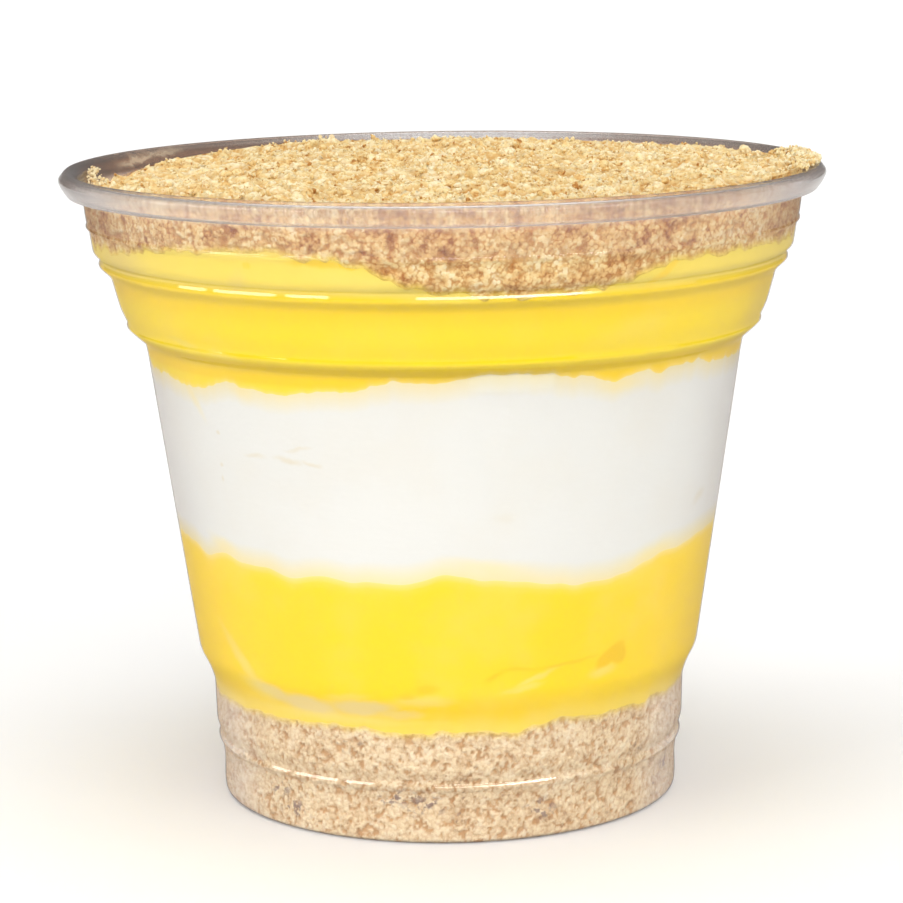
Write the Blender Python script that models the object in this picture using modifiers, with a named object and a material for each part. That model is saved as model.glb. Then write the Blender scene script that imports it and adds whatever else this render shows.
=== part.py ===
"""Lemon tart in a clear plastic dessert cup, in layers.

From the base up the cup holds biscuit crumb, lemon curd, cream, lemon curd and a heap of crumb.
Units are metres and +Z is up. The origin is the middle of the circle that the cup stands on.
"""

import math
import random

import bmesh
import bpy

MM = 0.001
CLEARANCE = 0.3 * MM  # between any two pieces that touch

# The cup. Each pair is an outside radius and a height, in millimetres.
SEGMENTS = 40
WALL = 0.5 * MM
ROLLED_RIM = ((45.8, 76.15), (46.35, 76.9), (46.7, 77.6), (46.2, 78.2), (45.4, 77.85))
LID_BAND = ((44.4, 76.2), (43.9, 72.8), (43.2, 68.5))
UPPER_STEP = ((42.4, 67.2), (41.2, 65.9))
UPPER_BAND = ((40.1, 61.8), (39.3, 59.6))
MIDDLE_STEP = ((38.3, 58.5), (37.2, 57.6), (36.9, 56.2))
TAPERED_WALL = ((34.4, 39.0), (31.4, 18.6))
LOWER_STEP = ((30.4, 16.7), (29.65, 14.6))
FOOT_BAND = ((29.5, 9.2), (29.1, 7.3), (28.6, 4.2))
FOOT = ((28.65, 1.5), (28.55, 0.35), (28.15, 0.0), (24.9, 0.0), (23.4, 1.0), (0.0, 1.2))
STRAIGHT_WALL = LID_BAND + UPPER_STEP + UPPER_BAND + MIDDLE_STEP + TAPERED_WALL + LOWER_STEP
CUP_OUTSIDE = ROLLED_RIM + STRAIGHT_WALL + FOOT_BAND + FOOT

# The surfaces between layers: a mean height at the wall in millimetres, and swells along the
# wall, each an azimuth from the front in degrees, a half width in degrees and a height in mm.
CRUMB_BASE_TOP = (14.1, ((40.0, 16.0, 0.8), (-8.0, 6.0, -0.4), (150.0, 30.0, 0.7), (-130.0, 25.0, -0.6)))
LOWER_CURD_TOP = (
    33.3,
    (
        (-58.0, 9.0, 0.9),
        (-1.0, 5.0, 1.0),
        (27.0, 14.0, -1.6),
        (65.0, 16.0, 1.6),
        (-115.0, 20.0, -1.0),
        (155.0, 30.0, 1.2),
    ),
)
CREAM_TOP = (
    56.3,
    (
        (-55.0, 14.0, -1.3),
        (-31.0, 9.0, -0.9),
        (9.0, 16.0, 1.7),
        (47.0, 14.0, 0.7),
        (-120.0, 25.0, 0.8),
        (150.0, 25.0, -0.9),
    ),
)
UPPER_CURD_TOP = (
    70.6,
    (
        (-30.0, 12.0, 1.7),
        (3.0, 8.0, -2.6),
        (20.0, 9.0, -2.9),
        (-75.0, 14.0, -0.5),
        (110.0, 25.0, 0.9),
        (-150.0, 25.0, -0.8),
    ),
)
LAYER_GRID = 16  # cells along each side of the grid that shapes these surfaces

# The heap of crumb on top.
HEAP_TOP = (78.3, ((-90.0, 35.0, -2.6), (90.0, 30.0, 0.3), (180.0, 40.0, -0.2)))
HEAP_CROWN = 0.7 * MM  # how much higher its middle is
CRUMB_PITCH = 2.0 * MM
CRUMB_BUMP = 0.55 * MM
CRUMB_SEED = 11

CUTTER_WIDTH = 100 * MM
CUTTER_FLOOR = -10 * MM
CUTTER_CEILING = 95 * MM

COLLECTION = "lemon_tart_cup"


def clear_scene():
    for item in list(bpy.data.objects):
        bpy.data.objects.remove(item, do_unlink=True)


def new_collection(name, shown=True):
    collection = bpy.data.collections.new(name)
    collection.hide_render = not shown
    bpy.context.scene.collection.children.link(collection)
    return collection


def new_material(name, color, roughness, transmission=0.0):
    material = bpy.data.materials.new(name)
    material.use_nodes = True
    shader = material.node_tree.nodes["Principled BSDF"]
    shader.inputs["Base Color"].default_value = (*color, 1.0)
    shader.inputs["Roughness"].default_value = roughness
    shader.inputs["Metallic"].default_value = 0.0
    shader.inputs["Transmission Weight"].default_value = transmission
    return material


def in_metres(points):
    return [(radius * MM, height * MM) for radius, height in points]


def shifted_inwards(points, distance):
    """The outline that runs at this distance inside an outline given from top to bottom."""
    lines = []
    for (r0, z0), (r1, z1) in zip(points, points[1:]):
        length = math.hypot(r1 - r0, z1 - z0)
        along = ((r1 - r0) / length, (z1 - z0) / length)
        start = (r0 + along[1] * distance, z0 - along[0] * distance)
        lines.append((start, along))
    inside = [lines[0][0]]
    for (start, along), (other, towards) in zip(lines, lines[1:]):
        cross = along[0] * towards[1] - along[1] * towards[0]
        reach = ((other[0] - start[0]) * towards[1] - (other[1] - start[1]) * towards[0]) / cross
        inside.append((start[0] + along[0] * reach, start[1] + along[1] * reach))
    last_start, last_along = lines[-1]
    reach = -last_start[0] / last_along[0]
    inside.append((0.0, last_start[1] + last_along[1] * reach))
    return inside


def turned(name, points, collection):
    """An object that turns an outline, given from top to bottom at +X, about the Z axis."""
    mesh = bpy.data.meshes.new(name)
    shape = bmesh.new()
    corners = [shape.verts.new((radius, 0.0, height)) for radius, height in points]
    for start, end in zip(corners, corners[1:]):
        shape.edges.new((start, end))
    shape.to_mesh(mesh)
    shape.free()
    item = bpy.data.objects.new(name, mesh)
    collection.objects.link(item)
    screw = item.modifiers.new("turn", "SCREW")
    screw.axis = "Z"
    screw.steps = SEGMENTS
    screw.render_steps = SEGMENTS
    screw.use_merge_vertices = True
    screw.merge_threshold = 0.01 * MM
    screw.use_smooth_shade = True
    return item


def azimuth_from_front(x, y):
    """Degrees from the front, -Y, towards +X."""
    return math.degrees(math.atan2(x, -y))


def swell_at(azimuth, swells):
    total = 0.0
    for middle, half_width, height in swells:
        away = (azimuth - middle + 180.0) % 360.0 - 180.0
        total += height * math.exp(-((away / half_width) ** 2))
    return total


def filling_outline():
    """The inside of the cup less the clearance, closed over the top above the heap."""
    wall = shifted_inwards(in_metres(STRAIGHT_WALL + FOOT_BAND + FOOT), WALL + CLEARANCE)
    lip_radius = wall[0][0]
    return [(0.0, CUTTER_CEILING - CLEARANCE), (lip_radius, CUTTER_CEILING - CLEARANCE)] + wall


def filling_radius(height):
    """The radius of the filling at this height, from the lowest stretch of its side that holds it."""
    outline = filling_outline()
    for (r0, z0), (r1, z1) in zip(outline[-2::-1], outline[-3::-1]):
        if z0 <= height <= z1:
            return r0 + (r1 - r0) * (height - z0) / (z1 - z0)
    raise ValueError(f"no side of the filling at {height}")


def outward_share(x, y, radius):
    return min(math.hypot(x, y) / radius, 1.0)


def surface_function(surface, lift=0.0):
    """The height of a layer's surface: level in the middle, with all its swells at the wall."""
    mean, swells = surface
    radius = filling_radius(mean * MM)

    def height_at(x, y):
        swell = swell_at(azimuth_from_front(x, y), swells)
        return (mean + outward_share(x, y, radius) ** 2 * swell) * MM + lift

    return height_at


def heap_function():
    """The height of the heap: crowned, with a bump for each clump of crumb."""
    ground = surface_function(HEAP_TOP)
    radius = filling_radius(HEAP_TOP[0] * MM)
    rng = random.Random(CRUMB_SEED)

    def height_at(x, y):
        crown = HEAP_CROWN * (1.0 - outward_share(x, y, radius) ** 2)
        return ground(x, y) + crown + rng.uniform(-CRUMB_BUMP, CRUMB_BUMP)

    return height_at


def cutter(name, cells, height_at, far_height, collection):
    """A block between the surface height_at(x, y) and a level plane above or below it."""
    shape = bmesh.new()
    bmesh.ops.create_grid(shape, x_segments=cells, y_segments=cells, size=CUTTER_WIDTH / 2)
    surface = list(shape.verts)
    for corner in surface:
        corner.co.z = height_at(corner.co.x, corner.co.y)
    grown = bmesh.ops.extrude_face_region(shape, geom=list(shape.faces))
    for part in grown["geom"]:
        if isinstance(part, bmesh.types.BMVert):
            part.co.z = far_height
    bmesh.ops.recalc_face_normals(shape, faces=list(shape.faces))
    mesh = bpy.data.meshes.new(name)
    shape.to_mesh(mesh)
    shape.free()
    block = bpy.data.objects.new(name, mesh)
    block.display_type = "WIRE"
    block.hide_render = True
    collection.objects.link(block)
    return block


def cut(item, block):
    boolean = item.modifiers.new(block.name, "BOOLEAN")
    boolean.operation = "DIFFERENCE"
    boolean.solver = "EXACT"
    boolean.object = block


def cup(collection):
    """The cup is one thin skin, from the free edge of its rolled rim to the middle of its base."""
    item = turned("cup", in_metres(CUP_OUTSIDE), collection)
    skin = item.modifiers.new("wall", "SOLIDIFY")
    skin.thickness = WALL
    skin.offset = -1.0
    skin.use_even_offset = True
    item.data.materials.append(new_material("clear_plastic", (0.93, 0.93, 0.94), 0.06, 1.0))


def layer(name, material, floor, ceiling, collection):
    """One layer of the filling, between the two blocks that cut it, of which one may be None."""
    item = turned(name, filling_outline(), collection)
    item.data.materials.append(material)
    for block in (floor, ceiling):
        if block:
            cut(item, block)


def filling(collection, cutters):
    """The five layers, each clear of the cup and of its neighbours."""
    crumb = new_material("biscuit_crumb", (0.80, 0.62, 0.36), 0.85)
    curd = new_material("lemon_curd", (0.93, 0.70, 0.06), 0.35)
    cream = new_material("whipped_cream", (0.90, 0.89, 0.84), 0.45)
    layers = (
        ("crumb_base", crumb, CRUMB_BASE_TOP),
        ("curd_lower", curd, LOWER_CURD_TOP),
        ("cream", cream, CREAM_TOP),
        ("curd_upper", curd, UPPER_CURD_TOP),
    )
    floor = None
    for name, material, surface in layers:
        ceiling = cutter(f"over_{name}", LAYER_GRID, surface_function(surface), CUTTER_CEILING, cutters)
        layer(name, material, floor, ceiling, collection)
        lifted = surface_function(surface, CLEARANCE)
        floor = cutter(f"up_to_{name}", LAYER_GRID, lifted, CUTTER_FLOOR, cutters)
    heap_cells = round(CUTTER_WIDTH / CRUMB_PITCH)
    sky = cutter("over_heap", heap_cells, heap_function(), CUTTER_CEILING + CLEARANCE, cutters)
    layer("crumb_top", crumb.copy(), floor, sky, collection)


def main():
    clear_scene()
    parts = new_collection(COLLECTION)
    cutters = new_collection("cutters", shown=False)
    cup(parts)
    filling(parts, cutters)


main()
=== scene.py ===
"""The looks of a layered lemon tart in a clear cup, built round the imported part.

The part's frame is in metres with +Z up. Outlines, heights and crumb sizes are written in
millimetres and azimuths in degrees, from the front (-Y) towards +X.
"""

import math

import bmesh
import bpy
import numpy as np
from mathutils import Matrix, Vector

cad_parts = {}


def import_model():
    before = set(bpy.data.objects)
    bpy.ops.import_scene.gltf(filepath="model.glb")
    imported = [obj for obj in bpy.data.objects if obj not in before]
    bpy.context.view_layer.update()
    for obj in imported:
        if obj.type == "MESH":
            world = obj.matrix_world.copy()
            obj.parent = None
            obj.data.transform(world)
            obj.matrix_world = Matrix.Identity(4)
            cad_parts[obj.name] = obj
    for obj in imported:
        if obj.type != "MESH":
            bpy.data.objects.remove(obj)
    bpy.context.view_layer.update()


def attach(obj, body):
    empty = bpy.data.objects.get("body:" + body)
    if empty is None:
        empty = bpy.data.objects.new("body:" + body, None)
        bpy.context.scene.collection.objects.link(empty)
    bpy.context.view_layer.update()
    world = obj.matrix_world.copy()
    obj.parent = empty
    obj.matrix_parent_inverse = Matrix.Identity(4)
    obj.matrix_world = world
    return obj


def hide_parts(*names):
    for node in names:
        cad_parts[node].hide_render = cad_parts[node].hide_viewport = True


MM = 0.001

# ---- The cup: outside radius and height of its skin, from the rolled rim's free edge inwards ----
WALL = 0.5
ROLLED_RIM = ((45.8, 76.15), (46.35, 76.9), (46.7, 77.6), (46.2, 78.2), (45.4, 77.85))
LID_BAND = ((44.4, 76.2), (44.05, 73.2), (43.9, 72.35), (44.06, 72.0), (43.65, 71.5), (43.25, 68.8))
UPPER_STEP = ((42.33, 68.0), (42.66, 67.2), (41.2, 65.9))
UPPER_BAND = ((40.1, 61.8), (39.25, 60.0))
MIDDLE_STEP = ((39.4, 59.55), (38.3, 58.5), (37.2, 57.6), (36.9, 56.2))
TAPERED_WALL = ((34.4, 39.0), (31.4, 18.6))
LOWER_STEP = ((30.4, 16.7), (29.65, 14.6))
FOOT_BAND = ((29.5, 9.2), (29.0, 7.7), (29.35, 7.0), (28.85, 6.4), (28.6, 4.2))
FOOT = ((28.65, 1.5), (28.55, 0.35), (28.15, 0.0), (24.9, 0.0), (23.4, 1.0), (0.0, 1.2))
STRAIGHT_WALL = LID_BAND + UPPER_STEP + UPPER_BAND + MIDDLE_STEP + TAPERED_WALL + LOWER_STEP
CUP_OUTSIDE = ROLLED_RIM + STRAIGHT_WALL + FOOT_BAND + FOOT
CUP_COLUMNS = 192
FILLET = 0.7  # how far a rounded corner reaches along the lines that meet in it
FILLET_SHARE = 0.33  # and the most of a short line that it takes up
FILLET_STEPS = 3
FILLING_DEPTH = 0.12  # the filling reaches this far under the cup's outside, so into its wall
SIDE_BOTTOM = 0.5  # height and radius past which the filling's outline is its side
SIDE_RADIUS = 25.0

# ---- The layers: height at the wall of each surface between them, as (azimuth, height) ----
CRUMB_BASE_TOP = (
    (-150, 13.6), (-110, 13.7), (-66, 14.0), (-57, 13.8), (-48, 14.3), (-39, 14.0), (-30, 14.3),
    (-15, 14.2), (-9, 13.8), (-2, 14.1), (8, 14.0), (19, 14.2), (27, 14.9), (46, 14.7), (56, 14.9),
    (67, 14.6), (74, 15.1), (110, 14.6), (150, 14.9),
)
LOWER_CURD_TOP = (
    (-150, 33.0), (-115, 32.4), (-75, 34.6), (-65, 34.3), (-61, 33.2), (-51, 34.3), (-46, 33.1),
    (-38, 33.5), (-33, 32.7), (-23, 33.4), (-19, 32.7), (-10, 32.7), (-5, 33.2), (-1, 34.1), (3, 33.8),
    (7, 33.3), (17, 32.6), (27, 31.7), (32, 31.9), (44, 32.7), (49, 34.0), (57, 34.1), (66, 34.8),
    (77, 34.8), (120, 33.6), (155, 34.4),
)
CREAM_TOP = (
    (-150, 56.5), (-110, 56.6), (-75, 55.2), (-60, 54.8), (-51, 55.0), (-44, 56.0), (-38, 55.4),
    (-24, 55.6), (-18, 56.0), (-12, 56.8), (-5, 57.3), (2, 57.5), (6, 58.1), (12, 58.0), (20, 57.7),
    (25, 57.1), (32, 56.3), (36, 56.8), (45, 56.8), (51, 57.1), (60, 56.5), (77, 55.8), (120, 55.6),
    (150, 55.2),
)
UPPER_CURD_TOP = (
    (-150, 69.9), (-110, 70.6), (-75, 70.1), (-59, 70.7), (-49, 71.3), (-40, 72.0), (-28, 72.4),
    (-22, 71.8), (-15, 71.7), (-11, 70.9), (-7, 69.5), (-4, 68.6), (1, 67.9), (12, 67.6), (22, 67.6),
    (28, 67.9), (31, 68.9), (36, 70.1), (43, 70.8), (53, 70.6), (73, 70.1), (110, 71.4), (150, 70.9),
)
HEAP_EDGE = (
    (-150, 77.9), (-130, 77.2), (-105, 75.6), (-85, 75.6), (-60, 76.6), (-35, 77.7), (0, 78.3),
    (45, 78.4), (75, 78.7), (90, 78.7), (104, 78.1), (122, 77.7), (145, 77.6), (170, 77.7),
)
HEAP_LEVEL = 78.0  # where the heap's radius is taken
HEAP_CROWN = 0.4  # how much higher the heap's middle is than its edge
HEAP_SWELL = 0.3  # how far the heap's soft ups and downs reach
LIP_SHARE = 0.9975  # the heap's last ring inside the wall, as a share of the wall's radius
COLUMNS = 1088  # round every piece of the filling; a multiple of 16
LID_COLUMNS = COLUMNS // 2  # round the top of the heap
LID_CELLS = LID_COLUMNS // 4
HIDDEN_SHARES = (0.5, 0.95)  # radii of the rings on the surfaces that no one sees

# ---- Camera, from the middle of the foot ----
CAMERA_DISTANCE = 402.8
CAMERA_HEIGHT = 116.9
CAMERA_PITCH = 10.48
CAMERA_YAW = 0.10
CAMERA_ROLL = -0.74
CAMERA_LENS = 130.05
CAMERA_SENSOR = 36.0

# ---- Light: (azimuth, half width, lowest and highest elevation, strength) in the sky ----
SKY_STRENGTH = 0.31
OVERHEAD_STRENGTH = 1.77
OVERHEAD_SPAN = (45.0, 70.0)  # elevations from which it grows, and past which it is full
LIGHT_COLOR = (1.0, 0.995, 0.985, 1.0)
SOFT_LIGHTS = (
    (23, 32, 23.6, 27.1, 17),
    (1, 6, 34, 43, 6),
    (-47, 7.5, 20, 28, 10),
    (-70.5, 12, 16, 25, 9),
    (-92, 6, 12, 18.5, 7),
    (70, 22, 5, 45, 0.95),
)
LIGHT_SOFTNESS = 1.0  # degrees over which a light fades at its edges
FLOOR_SIZE = 16.0  # metres
FLOOR_HEIGHT = -0.1  # just clear of the cup's foot


# ---- Outlines ----


def shifted_inwards(points, distance):
    """The outline that runs at this distance inside an outline given from top to bottom."""
    lines = []
    for (r0, z0), (r1, z1) in zip(points, points[1:]):
        length = math.hypot(r1 - r0, z1 - z0)
        along = ((r1 - r0) / length, (z1 - z0) / length)
        start = (r0 + along[1] * distance, z0 - along[0] * distance)
        lines.append((start, along))
    inside = [lines[0][0]]
    for (start, along), (other, towards) in zip(lines, lines[1:]):
        cross = along[0] * towards[1] - along[1] * towards[0]
        reach = ((other[0] - start[0]) * towards[1] - (other[1] - start[1]) * towards[0]) / cross
        inside.append((start[0] + along[0] * reach, start[1] + along[1] * reach))
    last_start, last_along = lines[-1]
    reach = -last_start[0] / last_along[0]
    inside.append((0.0, last_start[1] + last_along[1] * reach))
    return inside


def rounded(points):
    """The outline with each corner replaced by a small curve."""
    smooth = [points[0]]
    for before, corner, after in zip(points, points[1:], points[2:]):
        reach = min(FILLET, FILLET_SHARE * min(math.dist(before, corner), math.dist(corner, after)))
        ends = []
        for other in (before, after):
            share = reach / math.dist(other, corner)
            ends.append([corner[i] + (other[i] - corner[i]) * share for i in (0, 1)])
        for step in range(FILLET_STEPS + 1):
            t = step / FILLET_STEPS
            weights = ((1 - t) ** 2, 2 * t * (1 - t), t**2)
            pulls = list(zip(weights, (ends[0], corner, ends[1])))
            smooth.append(tuple(sum(weight * point[i] for weight, point in pulls) for i in (0, 1)))
    smooth.append(points[-1])
    return smooth


FILLING_OUTLINE = np.array(rounded(shifted_inwards(STRAIGHT_WALL + FOOT_BAND + FOOT, FILLING_DEPTH)))
ON_SIDE = (FILLING_OUTLINE[:, 1] >= SIDE_BOTTOM) & (FILLING_OUTLINE[:, 0] > SIDE_RADIUS)
SIDE = FILLING_OUTLINE[ON_SIDE][::-1]


def filling_radius(height):
    return np.interp(height, SIDE[:, 1], SIDE[:, 0])


# ---- Surfaces between layers ----

AZIMUTHS = np.arange(COLUMNS) * 360.0 / COLUMNS - 180.0


def smoothed(values, width):
    """A closed row of values with a Gaussian of this width, in samples, run over it."""
    reach = int(3 * width) + 1
    offsets = np.arange(-reach, reach + 1)
    kernel = np.exp(-0.5 * (offsets / width) ** 2)
    kernel /= kernel.sum()
    return sum(weight * np.roll(values, offset) for weight, offset in zip(kernel, offsets))


def ripple(seed, amplitude, degrees):
    """A closed row of small ups and downs, each of about this many degrees."""
    rng = np.random.default_rng(seed)
    values = smoothed(rng.normal(size=COLUMNS), degrees * COLUMNS / 360.0)
    return values * amplitude / values.std()


def shore(knots, degrees):
    """The height at each azimuth of a surface's edge on the wall."""
    azimuths = [azimuth for azimuth, _ in knots]
    heights = [height for _, height in knots]
    return smoothed(np.interp(AZIMUTHS, azimuths, heights, period=360.0), degrees * COLUMNS / 360.0)


SHORES = {
    "crumb_base": shore(CRUMB_BASE_TOP, 1.5) + ripple(1, 0.14, 1.4) + ripple(2, 0.05, 0.5),
    "curd_lower": shore(LOWER_CURD_TOP, 1.5) + ripple(3, 0.12, 1.5),
    "cream": shore(CREAM_TOP, 1.3) + ripple(4, 0.16, 1.1) + ripple(7, 0.10, 0.5),
    "curd_upper": shore(UPPER_CURD_TOP, 1.2) + ripple(5, 0.24, 0.9) + ripple(6, 0.12, 0.45),
    "crumb_top": shore(HEAP_EDGE, 6.0),
}


def height_on_shore(name, azimuth):
    return np.interp(azimuth, AZIMUTHS, SHORES[name], period=360.0)


def near_shore(name, azimuth, height, width):
    """1 at a layer's edge on the wall, falling to 0 within about this many millimetres of it."""
    return np.exp(-(((height - height_on_shore(name, azimuth)) / width) ** 2))


def azimuth_of(x, y):
    return np.degrees(np.arctan2(x, -y))


def heap_height(x, y):
    """The height of the heap without its grains."""
    outwards = np.minimum(np.hypot(x, y) / filling_radius(HEAP_LEVEL), 1.0) ** 2
    edge = height_on_shore("crumb_top", azimuth_of(x, y))
    middle = SHORES["crumb_top"].mean() + HEAP_CROWN
    swell = np.sin(x / 4.1 + 0.6 * np.sin(y / 5.3)) + np.cos(y / 3.3 + 0.8 * np.sin(x / 6.1) + 1.0)
    return middle + (edge - middle) * outwards + HEAP_SWELL * swell * (1 - outwards**4)


# ---- Grain ----

GAP_DEPTH = 1.3  # how deep the gaps between grains are, in radii of the largest
SMALL_GRAINS = 1.8  # above 1, small grains outnumber large ones
THREE_LOBES = 0.22  # how far the lobes of a grain's outline reach, as shares of its radius
FIVE_LOBES = 0.12
LOBED_REACH = 1.35  # a grain's reach with its lobes, in radii
NO_GRAIN = -9.0  # lower than any grain


def grain_map(size, pitch, count, radii, lift, seed, wraps=False):
    """Relief and tone of packed grains over a rectangle. Height 0 is the top of a middling grain."""
    rng = np.random.default_rng(seed)
    shape = (round(size[0] / pitch), round(size[1] / pitch))
    relief = np.full(shape, -GAP_DEPTH * radii[1])
    tone = np.full(shape, 0.5)
    for _ in range(count):
        radius = radii[0] + (radii[1] - radii[0]) * rng.random() ** SMALL_GRAINS
        middle = rng.random(2) * size
        top = rng.normal() * lift
        own_tone = rng.random()
        lobes = rng.random(2) * 2 * math.pi
        reach = int(LOBED_REACH * radius / pitch) + 1
        i = np.arange(-reach, reach + 1) + int(middle[0] / pitch)
        j = np.arange(-reach, reach + 1) + int(middle[1] / pitch)
        j = j[(j >= 0) & (j < shape[1])]
        if not wraps:
            i = i[(i >= 0) & (i < shape[0])]
        du = (i * pitch - middle[0])[:, None]
        dv = (j * pitch - middle[1])[None, :]
        angle = np.arctan2(dv, du)
        outline = 1 + THREE_LOBES * np.sin(3 * angle + lobes[0]) + FIVE_LOBES * np.sin(5 * angle + lobes[1])
        outline = radius * outline
        inside = 1 - (du**2 + dv**2) / outline**2
        height = np.where(inside > 0, top + radius * (np.sqrt(np.maximum(inside, 0)) - 1), NO_GRAIN)
        window = np.ix_(i % shape[0], j)
        higher = height > relief[window]
        relief[window] = np.where(higher, height, relief[window])
        tone[window] = np.where(higher, own_tone, tone[window])
    return relief, tone


def sampled(values, u, v, pitch, wraps=False):
    """Bilinear reading of a map at points in its own plane."""
    last = np.array(values.shape) - 1
    fu = np.mod(u / pitch, values.shape[0]) if wraps else np.clip(u / pitch, 0, last[0] - 1e-6)
    fv = np.clip(v / pitch, 0, last[1] - 1e-6)
    i = np.floor(fu).astype(int) % values.shape[0]
    j = np.floor(fv).astype(int)
    i_next = (i + 1) % values.shape[0]
    tu = fu - np.floor(fu)
    tv = fv - j
    low = values[i, j] * (1 - tu) + values[i_next, j] * tu
    high = values[i, j + 1] * (1 - tu) + values[i_next, j + 1] * tu
    return low * (1 - tv) + high * tv


HEAP_SPAN = 94.0
HEAP_PITCH = 0.2
HEAP_GRAINS = grain_map(
    size=(HEAP_SPAN, HEAP_SPAN), pitch=HEAP_PITCH, count=16000, radii=(0.25, 0.95), lift=0.25, seed=21
)
WALL_PITCH = 0.12
PRESSED = 0.05  # how far the grains would stand into the wall
DEEPEST_PIT = -0.3  # on the wall
DEEPEST_HEAP_PIT = -0.42
FLUSH_EDGE = 0.4  # the relief fades over this height, up to a layer's edge


def heap_relief(x, y):
    """(relief, tone) of the heap's own grains."""
    u = x + HEAP_SPAN / 2
    v = y + HEAP_SPAN / 2
    relief, tone = [sampled(layer, u, v, HEAP_PITCH) for layer in HEAP_GRAINS]
    return np.maximum(relief, DEEPEST_HEAP_PIT), tone


def wall_grains(radius, bottom, top, count, radii, lift, seed):
    """Grains pressed against the wall: a function of azimuth and height that gives (relief, tone)."""
    around = 2 * math.pi * radius
    layers = grain_map((around, top - bottom), WALL_PITCH, count, radii, lift, seed, wraps=True)

    def at(azimuth, height):
        along = np.radians(azimuth + 180.0) * radius
        relief, tone = [sampled(layer, along, height - bottom, WALL_PITCH, wraps=True) for layer in layers]
        return np.clip(relief + PRESSED, DEEPEST_PIT, 0.0), tone

    return at


# ---- Meshes ----


def new_mesh(name, points, face_groups, attributes=None, sharp_rings=()):
    """A mesh from points in millimetres and arrays of faces, one array for each number of corners."""
    mesh = bpy.data.meshes.new(name)
    loops = np.concatenate([group.ravel() for group in face_groups])
    counts = np.concatenate([np.full(len(group), group.shape[1]) for group in face_groups])
    starts = np.concatenate([[0], np.cumsum(counts)[:-1]])
    mesh.vertices.add(len(points))
    mesh.vertices.foreach_set("co", (np.asarray(points) * MM).astype(np.float32).ravel())
    mesh.loops.add(len(loops))
    mesh.loops.foreach_set("vertex_index", loops.astype(np.int32))
    mesh.polygons.add(len(counts))
    mesh.polygons.foreach_set("loop_start", starts.astype(np.int32))
    mesh.update(calc_edges=True)
    mesh.validate()
    mesh.shade_smooth()
    for key, values in (attributes or {}).items():
        layer = mesh.attributes.new(key, "FLOAT", "POINT")
        layer.data.foreach_set("value", np.asarray(values, np.float32))
    if sharp_rings:
        ends = np.empty(2 * len(mesh.edges), np.int32)
        mesh.edges.foreach_get("vertices", ends)
        ends = ends.reshape(-1, 2)
        sharp = np.zeros(len(mesh.edges), bool)
        for members in sharp_rings:
            sharp |= np.isin(ends, members).all(axis=1)
        layer = mesh.attributes.new("sharp_edge", "BOOLEAN", "EDGE")
        layer.data.foreach_set("value", sharp)
    return mesh


def new_piece(name, mesh, material, replaced=None):
    """A visible piece on the one body, which replaces a CAD node where one is named."""
    piece = bpy.data.objects.new(name, mesh)
    bpy.context.scene.collection.objects.link(piece)
    mesh.materials.append(material)
    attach(piece, "root")
    if replaced:
        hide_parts(replaced)


def ring(radius, height, azimuths=AZIMUTHS):
    """Points round the axis; radius and height may be numbers or one value for each azimuth."""
    turn = np.radians(azimuths)
    return np.stack([radius * np.sin(turn), -radius * np.cos(turn), height + 0.0 * turn], axis=1)


def ring_quads(lower, upper):
    """Quads between two closed rows of point numbers, facing out when upper is the higher row."""
    return np.stack([lower, np.roll(lower, -1), np.roll(upper, -1), upper], axis=1)


def fan(row, pole, upwards):
    """Triangles from a closed row of point numbers to a point on the axis."""
    following = np.roll(row, -1)
    poles = np.full(len(row), pole)
    return np.stack([row, following, poles] if upwards else [following, row, poles], axis=1)


def closed_turning(rings, columns):
    """(points, [quads, triangles], rows of point numbers) of rings, from the lowest up, closed at both
    ends by a point on the axis."""
    points = np.concatenate(rings)
    numbers = np.arange(len(points)).reshape(len(rings), columns)
    poles = [[0.0, 0.0, rings[0][:, 2].mean()], [0.0, 0.0, rings[-1][:, 2].mean()]]
    quads = np.concatenate([ring_quads(a, b) for a, b in zip(numbers, numbers[1:])])
    ends = [fan(numbers[0], len(points), False), fan(numbers[-1], len(points) + 1, True)]
    return np.concatenate([points, poles]), [quads, np.concatenate(ends)], numbers


def level_rings(edge):
    """Rings from near the axis out to the wall, over a surface that is level in the middle."""
    middle = edge.mean()
    rings = []
    for share in HIDDEN_SHARES:
        rings.append(ring(share * filling_radius(edge), middle + (edge - middle) * share**2))
    return rings


def base_rings():
    """Rings over the cup's raised base and foot, from near the axis outwards."""
    bottom = FILLING_OUTLINE[~ON_SIDE][::-1]
    return [ring(radius, height) for radius, height in bottom[1::3]]


def side_rings(lower, upper, rows, relief=None):
    """Rings up the wall, pressed in by the relief of the grains."""
    rings = []
    for share in np.linspace(0.0, 1.0, rows):
        height = lower + (upper - lower) * share
        inside = np.clip(np.minimum(height - lower, upper - height) / FLUSH_EDGE, 0.0, 1.0)
        depth = inside * relief(AZIMUTHS, height)[0] if relief else 0.0
        rings.append(ring(filling_radius(height) + depth, height))
    return rings


def disc_grid():
    """A square grid drawn out to the unit circle: x, y, whether on its edge, and the nearest column."""
    span = np.linspace(-1.0, 1.0, LID_CELLS + 1)
    a, b = np.meshgrid(span, span, indexing="ij")
    wide = np.abs(a) > np.abs(b)
    turn = np.where(
        wide,
        math.pi / 4 * b / np.where(a == 0, 1.0, a),
        math.pi / 2 - math.pi / 4 * a / np.where(b == 0, 1.0, b),
    )
    reach = np.where(wide, a, b)
    x = reach * np.cos(turn)
    y = reach * np.sin(turn)
    edge = np.maximum(np.abs(a), np.abs(b)) > 1 - 1e-9
    column = np.round((azimuth_of(x, y) + 180.0) * LID_COLUMNS / 360.0).astype(int) % LID_COLUMNS
    return x, y, edge, column


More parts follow.
